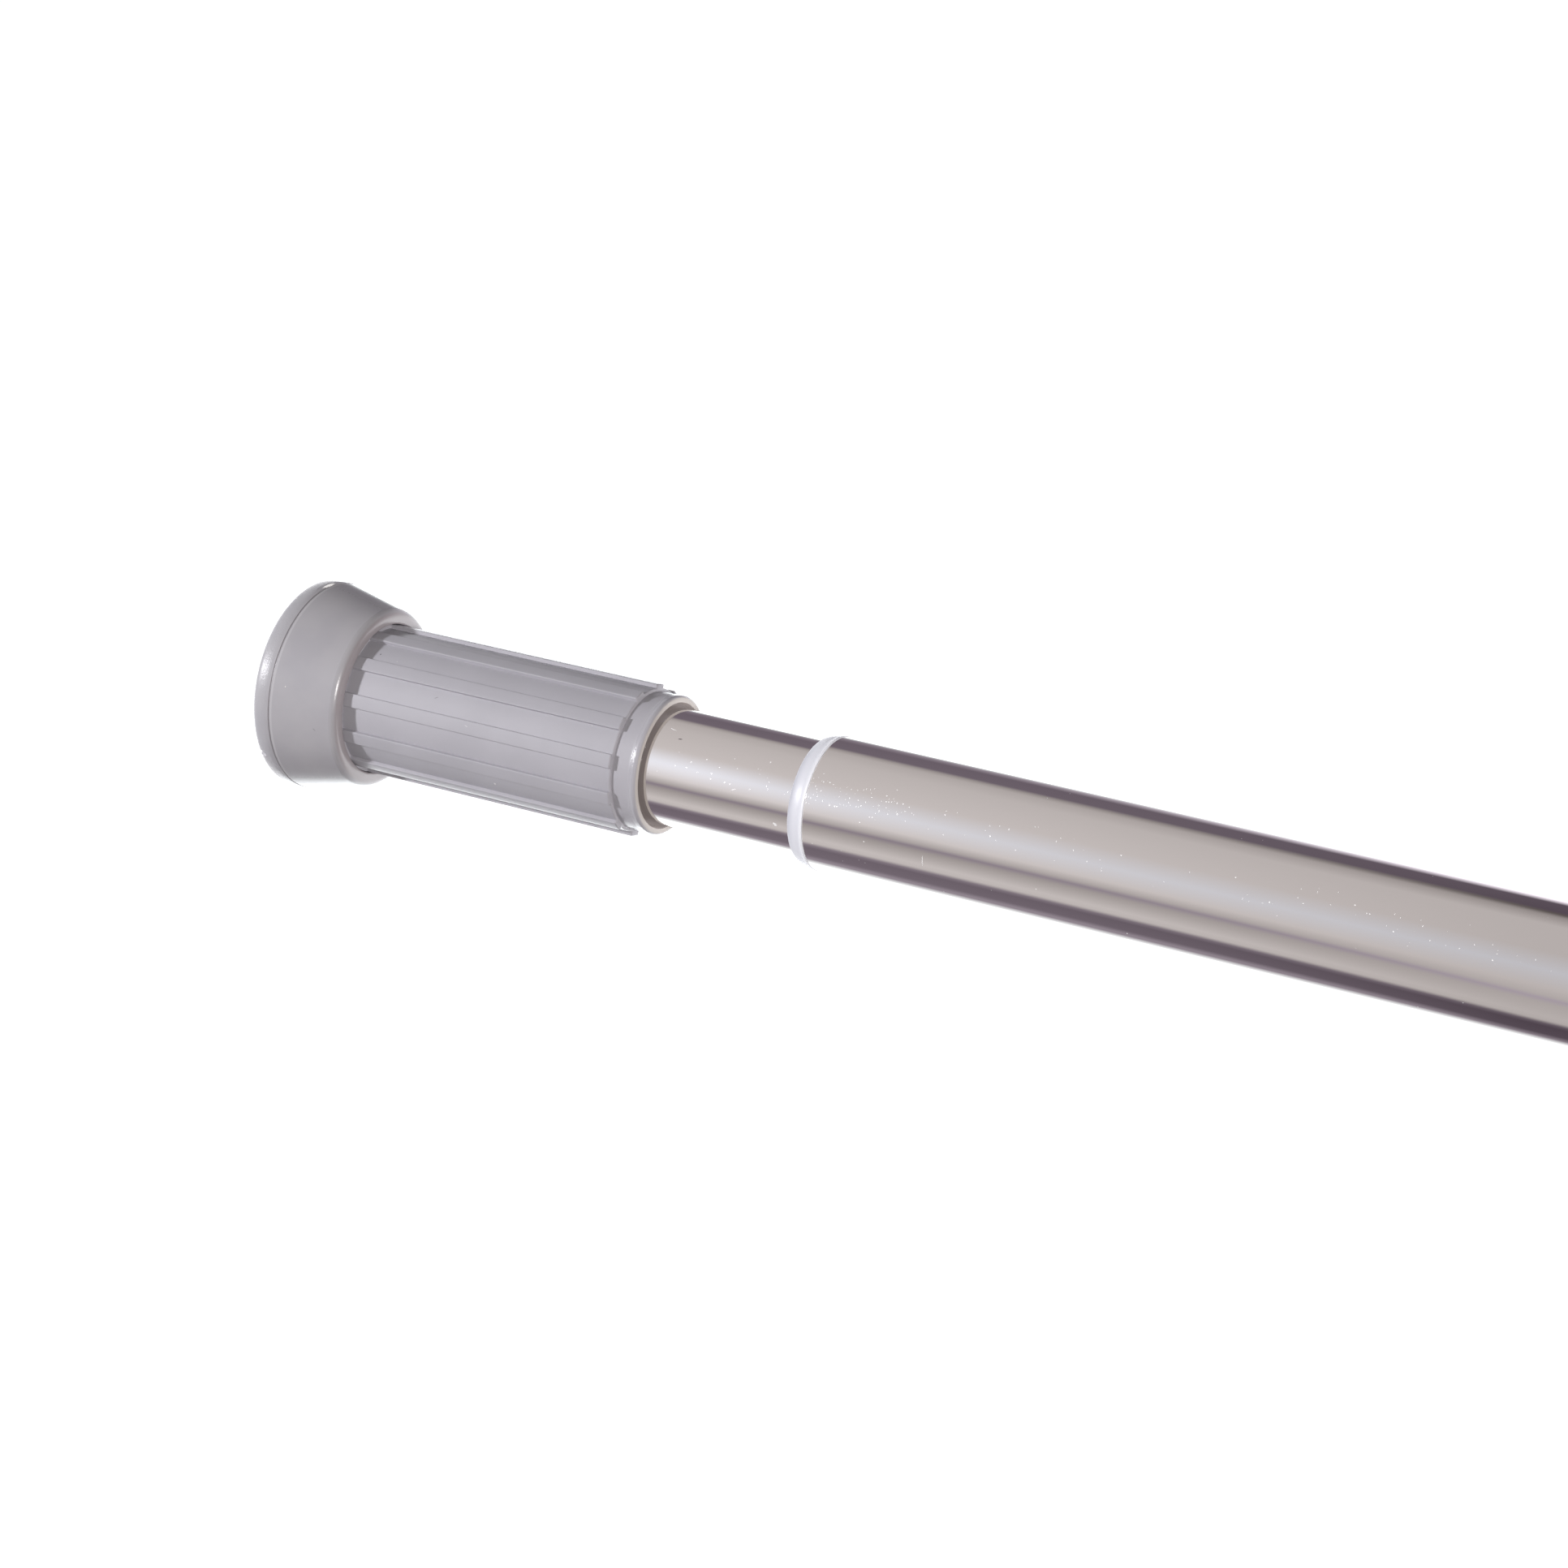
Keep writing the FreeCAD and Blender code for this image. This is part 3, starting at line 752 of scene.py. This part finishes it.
# %% Handle foot
mouth_radius = 14.62
pocket_radius = 16.9
pocket_end = 12.1
nick_depth, nick_end, nick_from, nick_to = 0.35, 1.7, 110.5, 113.2
pocket = [
    (pocket_end, mouth_radius),
    (pocket_end, pocket_radius),
    (wall_thickness, pocket_radius),
    (wall_thickness, 0),
]
shape = turned(foot_corners(mouth_radius) + pocket, foot_steps)
ease_foot(shape, mouth_radius)
for vert in shape.verts:
    on_edge = vert.co.x < nick_end and radius_of(vert.co) > pocket_radius + 0.1
    if on_edge and nick_from < angle_of(vert.co) < nick_to:
        vert.co.yz *= 1 - nick_depth / rim_radius
dressed(shape, "rubber_handle_foot", foot_rubber, "wall_foot", ["handle_foot"])

# %% [markdown]
# The far foot grips the wide tube with a plain bore. It is built like the first one and then turned round
# to face the other wall.

# %% Far foot
tube_mouth_radius = 12.6
bore = [(wall_thickness, tube_mouth_radius), (wall_thickness, 0)]
shape = turned(foot_corners(tube_mouth_radius) + bore, foot_steps)
ease_foot(shape, tube_mouth_radius)
half_turn = Matrix.Rotation(math.pi, 3, "Z")
bmesh.ops.rotate(shape, cent=(0, 0, 0), matrix=half_turn, verts=shape.verts[:])
bmesh.ops.translate(shape, vec=(rod_length, 0, 0), verts=shape.verts[:])
dressed(shape, "rubber_far_foot", foot_rubber, "fixed_part", ["far_foot"])

# %% [markdown]
# ## Grip
# The grip is a moulded sleeve with twelve raised ribs, a plain nose and a flange that turns inside the
# foot. The sleeve is spun, then the faces under the ribs are extruded outwards and every edge is rounded a
# little, because those small roundings draw the light and dark lines along the ribs.

# %% Grip body
flange_end, flange_chamfer = 10.6, 0.5
shoulder_radius, spindle_radius = 8.75, 5.05
shoulder_end, end_wall_inside = 11.5, 14.5
nose_dip, nose_draft = 0.08, 0.01
bead_start, bead_crown = grip_end - 1.6, grip_end - 0.8
steps_a_rib, rib_steps = 11, 4
shape = turned(
    [
        (grip_start, shoulder_radius),
        (grip_start, flange_radius - flange_chamfer),
        (grip_start + flange_chamfer, flange_radius),
        (flange_end, flange_radius),
        (flange_end, rib_radius),
        (ribs_start, rib_radius),
        (ribs_start, panel_radius),
        (ribs_end, panel_radius),
        (ribs_end, nose_radius - nose_dip),
        (bead_start, nose_radius - nose_dip + nose_draft),
        (bead_crown, nose_radius),
        (grip_end, nose_radius),
        (grip_end, bore_radius),
        (end_wall_inside, bore_radius),
        (end_wall_inside, spindle_radius),
        (shoulder_end, spindle_radius),
        (shoulder_end, shoulder_radius),
    ],
    rib_count * steps_a_rib,
)
step_angle = 360 / rib_count / steps_a_rib
half_rib = rib_steps * step_angle / 2
to_first_rib = Matrix.Rotation(math.radians(first_rib_angle % step_angle), 3, "X")
bmesh.ops.rotate(shape, cent=(0, 0, 0), matrix=to_first_rib, verts=shape.verts[:])
print("a rib is", round(2 * half_rib, 2), "degrees wide")

# %% Ribs
def off_rib(point):
    """Degrees from the middle of the nearest rib."""
    pitch = 360 / rib_count
    return abs((angle_of(point) - first_rib_angle + pitch / 2) % pitch - pitch / 2)


under_ribs = []
for face in shape.faces:
    middle = face.calc_center_median()
    on_panel = ribs_start < middle.x < ribs_end and abs(radius_of(middle) - panel_radius) < 0.1
    if on_panel and off_rib(middle) < half_rib:
        under_ribs.append(face)
raised = bmesh.ops.extrude_face_region(shape, geom=under_ribs)["geom"]
rib_tops = [item for item in raised if isinstance(item, bmesh.types.BMVert)]
bmesh.ops.scale(shape, vec=(1, rib_radius / panel_radius, rib_radius / panel_radius), verts=rib_tops)
print(len(under_ribs), "faces raised into", rib_count, "ribs")

# %% [markdown]
# The raised ribs meet the journal ring with walls inside the plastic, and extrude keeps the faces it
# started from. Both kinds are taken out, so that the sleeve is one closed skin.

# %% Close the skin
inner_walls = []
for face in shape.faces:
    middle = face.calc_center_median()
    flat = all(abs(vert.co.x - ribs_start) < NEAR for vert in face.verts)
    if flat and off_rib(middle) < half_rib:
        inner_walls.append(face)
bmesh.ops.delete(shape, geom=under_ribs + inner_walls, context="FACES")
bmesh.ops.remove_doubles(shape, verts=shape.verts[:], dist=NEAR)
bmesh.ops.recalc_face_normals(shape, faces=shape.faces[:])
print(sum(not edge.is_manifold for edge in shape.edges), "open edges")

# %% Round the grip's edges
def creased(edge):
    """Whether an edge is sharp enough to be rounded."""
    return edge.is_manifold and edge.calc_face_angle() > math.radians(50)


def nearer_end(edge):
    """The radius of the end that lies nearer to the axis."""
    return min(radius_of(vert.co) for vert in edge.verts)


end_edges = [edge for edge in shape.edges if all(abs(vert.co.x - ribs_end) < NEAR for vert in edge.verts)]
end_edges = [edge for edge in end_edges if nearer_end(edge) > panel_radius - 0.01]
ease(shape, [edge for edge in end_edges if creased(edge)], 0.3, 4)
long_edges = [edge for edge in shape.edges if edge.calc_length() > (ribs_end - ribs_start) / 2]
long_edges = [edge for edge in long_edges if nearer_end(edge) > rib_radius - 0.1]
ease(shape, [edge for edge in long_edges if creased(edge)], 0.2, 3)
ease(shape, ring(shape, grip_end, nose_radius), 0.55, 5)
ease(shape, ring(shape, grip_end, bore_radius), 0.1, 2)
dressed(shape, "ribbed_grip", grip_plastic, "grip", ["grip_sleeve"], 50)

# %% [markdown]
# ## Tubes
# The tubes are thin-walled and plain, but a coarse mesh would break the bands that run along them. They are
# spun with many steps and their cut ends are eased, as a deburred tube's are. So round a mirror would throw
# sparks of the small lamp on its neighbours, which a renderer only finds as grain, so light on its way to a
# matt surface skips it.

# %% Tubes
tube_wall = 0.6


def tube(start, end, radius):
    """A tube with both cut ends eased."""
    inside = radius - tube_wall
    shape = turned([(start, inside), (start, radius), (end, radius), (end, inside)])
    for x in (start, end):
        ease(shape, ring(shape, x, radius), 0.15, 3)
    return shape


inner_shape = tube(inner_start, inner_end, inner_radius)
inner_tube = dressed(inner_shape, "sliding_tube", polished_tube, "sliding_part", ["inner_tube"])
outer_shape = tube(outer_start, outer_end, outer_radius)
outer_tube = dressed(outer_shape, "fixed_tube", polished_tube, "fixed_part", ["outer_tube"])
for mirror in (inner_tube, outer_tube):
    mirror.visible_diffuse = False

# %% [markdown]
# ## Guide bush
# A milky plastic bush guides the thin tube in the wide one. Its collar swells towards the tube and ends in
# a thin flange that seats on the tube's cut edge. It could be moulded in two steps, but one spun section
# keeps the collar and the sleeve inside the tube a single piece, as it is.

# %% Guide bush
bush_bore, sleeve_radius = 11.1, 11.75
mouth_edge, swell = (bush_start, 11.7), (bush_start + 1.4, 12.25)
flange_foot = (outer_start - 0.6, 12.45)
flange_edge = (outer_start - 0.4, bush_radius)
shape = turned(
    [
        (bush_start, bush_bore),
        mouth_edge,
        swell,
        flange_foot,
        flange_edge,
        (outer_start, bush_radius),
        (outer_start, sleeve_radius),
        (bush_end, sleeve_radius),
        (bush_end, bush_bore),
    ]
)
ease(shape, ring(shape, *mouth_edge), 0.35, 4)
ease(shape, ring(shape, *swell), 0.7, 6)
ease(shape, ring(shape, *flange_edge), 0.08, 3)
dressed(shape, "guide_bush", bush_plastic, "fixed_part", ["collar_bush"])

# %% [markdown]
# ## Inner pieces
# The plugs, the nut and the twist lock sit inside and are seldom seen, so their CAD shapes stay. They share
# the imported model's materials, so the finishes above are already on them.

# %% CAD nodes that keep their shape
kept = {name: node.data.materials[0].name for name, node in nodes.items() if node.visible_get()}
print(len(kept), "nodes keep their shape:", kept)
